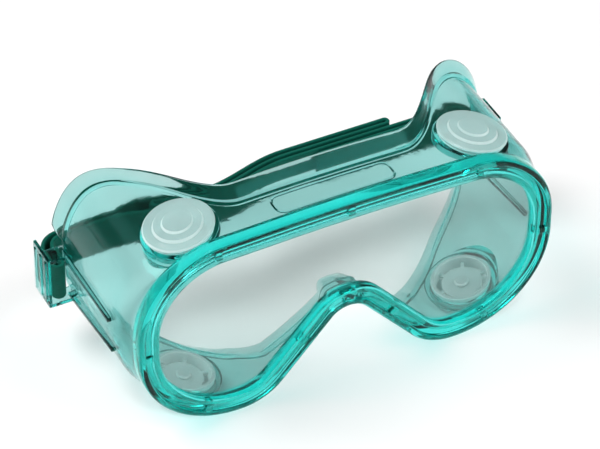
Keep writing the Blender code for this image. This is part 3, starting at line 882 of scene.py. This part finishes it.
def vinyl_look():
    """Soft PVC: thin walls are pale and the rim is deep teal, by absorption and by a tint of its own.
    The walls' grey tint is partly the vinyl's own colour and partly painted shade for the shaded floor
    seen through them.
    """
    made = Nodes("green_vinyl_look")
    shader = made.shader.inputs
    rim_back = (ZERO.y + RIM_DEPTH) * MM
    where = made.behind(rim_back, rim_back + 0.002)
    rim = made.blend(made.noise(60.0, 3.0), (0.42, 0.88, 0.85), (0.54, 0.95, 0.92))
    # Grey tint of the walls behind the rim: partly the vinyl's own colour, partly painted shade for the
    # shaded floor seen through the walls.
    wall = made.blend(made.noise(30.0), (0.68, 0.70, 0.685), (0.75, 0.75, 0.735))
    tint = made.blend(where, rim, wall)
    made.link(tint, shader["Base Color"])
    made.link(made.spread(made.noise(90.0, 4.0), 0.03, 0.10), shader["Roughness"])
    shader["Transmission Weight"].default_value = 1.0
    shader["IOR"].default_value = 1.5
    shader["Specular Tint"].default_value = (0.3, 0.5, 0.48, 1.0)
    made.bump(made.noise(160.0, 3.0), 0.0002, 0.25)
    made.absorb((0.04, 0.93, 0.91), 380.0, 60.0)
    made.let_light_through((0.97, 0.96, 0.96))
    return made.material


def lens_look():
    """Clear polycarbonate with a faint grey-green body and the odd smear."""
    made = Nodes("clear_polycarbonate_look")
    shader = made.shader.inputs
    tint = made.blend(made.noise(12.0), (0.64, 0.72, 0.71), (0.69, 0.76, 0.75))
    made.link(tint, shader["Base Color"])
    made.link(made.spread(made.noise(60.0, 4.0), 0.0, 0.05), shader["Roughness"])
    shader["Transmission Weight"].default_value = 1.0
    shader["IOR"].default_value = 1.5
    made.bump(made.noise(25.0), 0.0002, 0.1)
    made.absorb((0.5, 0.6, 0.58), 60.0, 20.0)
    made.let_light_through((0.97, 0.97, 0.97))
    return made.material


def frosted_look():
    """Milky moulded plastic that lets some of what lies behind it through. Its colour is painted light
    by facing: steep sides of the rings are lighter as a painted highlight, and flat tops are darker and
    more see-through as painted shade.
    """
    made = Nodes("frosted_plastic_look")
    shader = made.shader.inputs
    # Painted highlight and shade: faces are coloured by which way they point, steep sides light and flat
    # tops dark.
    flat_painted_shade_mask = made.lying_flat(0.6, 0.95)
    flat = made.blend(made.noise(120.0, 3.0), (0.47, 0.64, 0.63), (0.57, 0.73, 0.72))
    steep = made.blend(made.noise(60.0), (0.68, 0.84, 0.83), (0.76, 0.90, 0.89))
    made.link(made.blend(flat_painted_shade_mask, steep, flat), shader["Base Color"])
    made.link(made.spread(made.noise(400.0, 3.0), 0.15, 0.3), shader["Roughness"])
    shader["Subsurface Weight"].default_value = 0.3
    shader["Subsurface Radius"].default_value = (1.0, 1.0, 1.0)
    shader["Subsurface Scale"].default_value = 0.003
    made.bump(made.noise(900.0, 2.0), 0.00005, 0.3)
    clear = made.add("ShaderNodeBsdfTransparent")
    clear.inputs["Color"].default_value = (0.86, 0.95, 0.94, 1.0)
    mix = made.add("ShaderNodeMixShader")
    made.link(made.spread(flat_painted_shade_mask, 0.2, 0.5), mix.inputs["Fac"])
    made.link(made.shader.outputs["BSDF"], mix.inputs[1])
    made.link(clear.outputs["BSDF"], mix.inputs[2])
    made.link(mix.outputs["Shader"], made.output.inputs["Surface"])
    return made.material


def webbing_look():
    """Dark green woven elastic: cross threads over the modelled cords, a little paler in patches."""
    made = Nodes("dark_green_elastic_look")
    shader = made.shader.inputs
    where = made.add("ShaderNodeTexCoord")
    weft = made.add("ShaderNodeTexWave", wave_type='BANDS', bands_direction='Z')
    weft.inputs["Scale"].default_value = 420.0
    weft.inputs["Distortion"].default_value = 1.5
    made.link(where.outputs["Object"], weft.inputs["Vector"])
    tone = made.blend(made.noise(70.0, 3.0), (0.0015, 0.065, 0.045), (0.004, 0.12, 0.085))
    made.link(tone, shader["Base Color"])
    made.link(made.spread(made.noise(500.0, 2.0), 0.65, 0.9), shader["Roughness"])
    shader["Specular IOR Level"].default_value = 0.2
    shader["Sheen Weight"].default_value = 0.08
    shader["Sheen Roughness"].default_value = 0.5
    shader["Sheen Tint"].default_value = (0.3, 0.8, 0.65, 1.0)
    made.bump(weft.outputs["Fac"], 0.00012, 0.6)
    return made.material


# ------------------------------------------------------------------ pieces on their bodies

def finish_piece(piece, look, body, node):
    """Give a piece its look and slot, and put it on its body in place of its CAD node."""
    place(piece)
    piece.data.shade_smooth()
    piece.data.set_sharp_from_angle(angle=math.radians(SMOOTH_ANGLE))
    piece.data.materials.clear()
    piece.data.materials.append(look)
    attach(piece, body)
    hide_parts(node)


def make_pieces():
    vinyl, clear = vinyl_look(), lens_look()
    frosted, webbing = frosted_look(), webbing_look()
    finish_piece(make_body(), vinyl, "mask", "body")
    finish_piece(make_lens(), clear, "mask", "lens")
    for name, cap_body, spot in vents():
        base = make_vent_base(name, spot)
        finish_piece(base, frosted, "mask", f"vent_base_{name}")
        cap = make_vent_cap(name, spot)
        finish_piece(cap, frosted, cap_body, f"vent_cap_{name}")
    finish_piece(make_strap(), webbing, "head_strap", "strap")


# ------------------------------------------------------------------ stage, lights, camera

def add_floor():
    bm = bmesh.new()
    bmesh.ops.create_grid(bm, x_segments=1, y_segments=1, size=FLOOR_HALF)
    floor = add_object("floor", bm)
    made = Nodes("floor_look")
    made.link(made.blend(made.noise(3.0), (0.91, 0.90, 0.90), (0.93, 0.92, 0.92)),
              made.shader.inputs["Base Color"])
    made.shader.inputs["Roughness"].default_value = 0.9
    made.shader.inputs["Specular IOR Level"].default_value = 0.2
    floor.data.materials.append(made.material)


def add_light(name, aim, spot, size, power):
    lamp = bpy.data.lights.new(name, 'AREA')
    lamp.shape = 'RECTANGLE'
    lamp.size = size
    lamp.size_y = size
    lamp.energy = power
    made = bpy.data.objects.new(name, lamp)
    made.location = spot
    made.rotation_euler = (Vector(aim) - Vector(spot)).to_track_quat('-Z', 'Y').to_euler()
    bpy.context.scene.collection.objects.link(made)
    return made


def add_lights(middle):
    """Two wide lamps that don't show in the gloss, and a small one that only shows there."""
    key = add_light("key", middle, *KEY)
    fill = add_light("fill", middle, *FILL)
    key.visible_glossy = False
    fill.visible_glossy = False
    sparkle = add_light("sparkle", middle, *SPARKLE)
    sparkle.visible_diffuse = False


def add_sky():
    """White all round, bright at the horizon and dim above it."""
    world = bpy.data.worlds.new("studio")
    world.use_nodes = True
    tree = world.node_tree
    shade = tree.nodes["Background"]
    shade.inputs["Color"].default_value = (1.0, 1.0, 1.0, 1.0)
    where = tree.nodes.new("ShaderNodeTexCoord")
    parts = tree.nodes.new("ShaderNodeSeparateXYZ")
    ramp = tree.nodes.new("ShaderNodeMapRange")
    for name, number in zip(RAMP_INPUTS, (0.0, SKY_TOP, *SKY_STRENGTH)):
        ramp.inputs[name].default_value = number
    tree.links.new(where.outputs["Generated"], parts.inputs["Vector"])
    tree.links.new(parts.outputs["Z"], ramp.inputs["Value"])
    tree.links.new(ramp.outputs["Result"], shade.inputs["Strength"])
    bpy.context.scene.world = world


def add_camera(middle):
    azimuth = math.radians(CAMERA_AZIMUTH)
    elevation = math.radians(CAMERA_ELEVATION)
    away = Vector((math.sin(azimuth) * math.cos(elevation), -math.cos(azimuth) * math.cos(elevation),
                   math.sin(elevation)))
    data = bpy.data.cameras.new("camera")
    data.lens = data.sensor_width * CAMERA_DISTANCE * CAMERA_FILL / CAMERA_SPAN
    data.clip_end = FAR_AWAY
    camera = bpy.data.objects.new("camera", data)
    camera.location = middle + away * CAMERA_DISTANCE
    turn = (-away).to_track_quat('-Z', 'Y').to_matrix().to_4x4()
    camera.rotation_euler = (turn @ Matrix.Rotation(math.radians(CAMERA_ROLL), 4, 'Z')).to_euler()
    bpy.context.scene.collection.objects.link(camera)
    bpy.context.scene.camera = camera


def set_view():
    """Plain colour rendering, and enough bounces for light through many clear layers."""
    scene = bpy.context.scene
    scene.view_settings.view_transform = 'Standard'
    scene.cycles.max_bounces = LIGHT_BOUNCES
    scene.cycles.transmission_bounces = LIGHT_BOUNCES
    scene.cycles.transparent_max_bounces = LIGHT_BOUNCES
    scene.cycles.caustics_refractive = False
    scene.cycles.caustics_reflective = False


make_pieces()
add_floor()
box_middle = (Vector(CAD_BOX[0]) + Vector(CAD_BOX[1])) / 2
add_lights(box_middle)
add_sky()
add_camera(box_middle)
set_view()
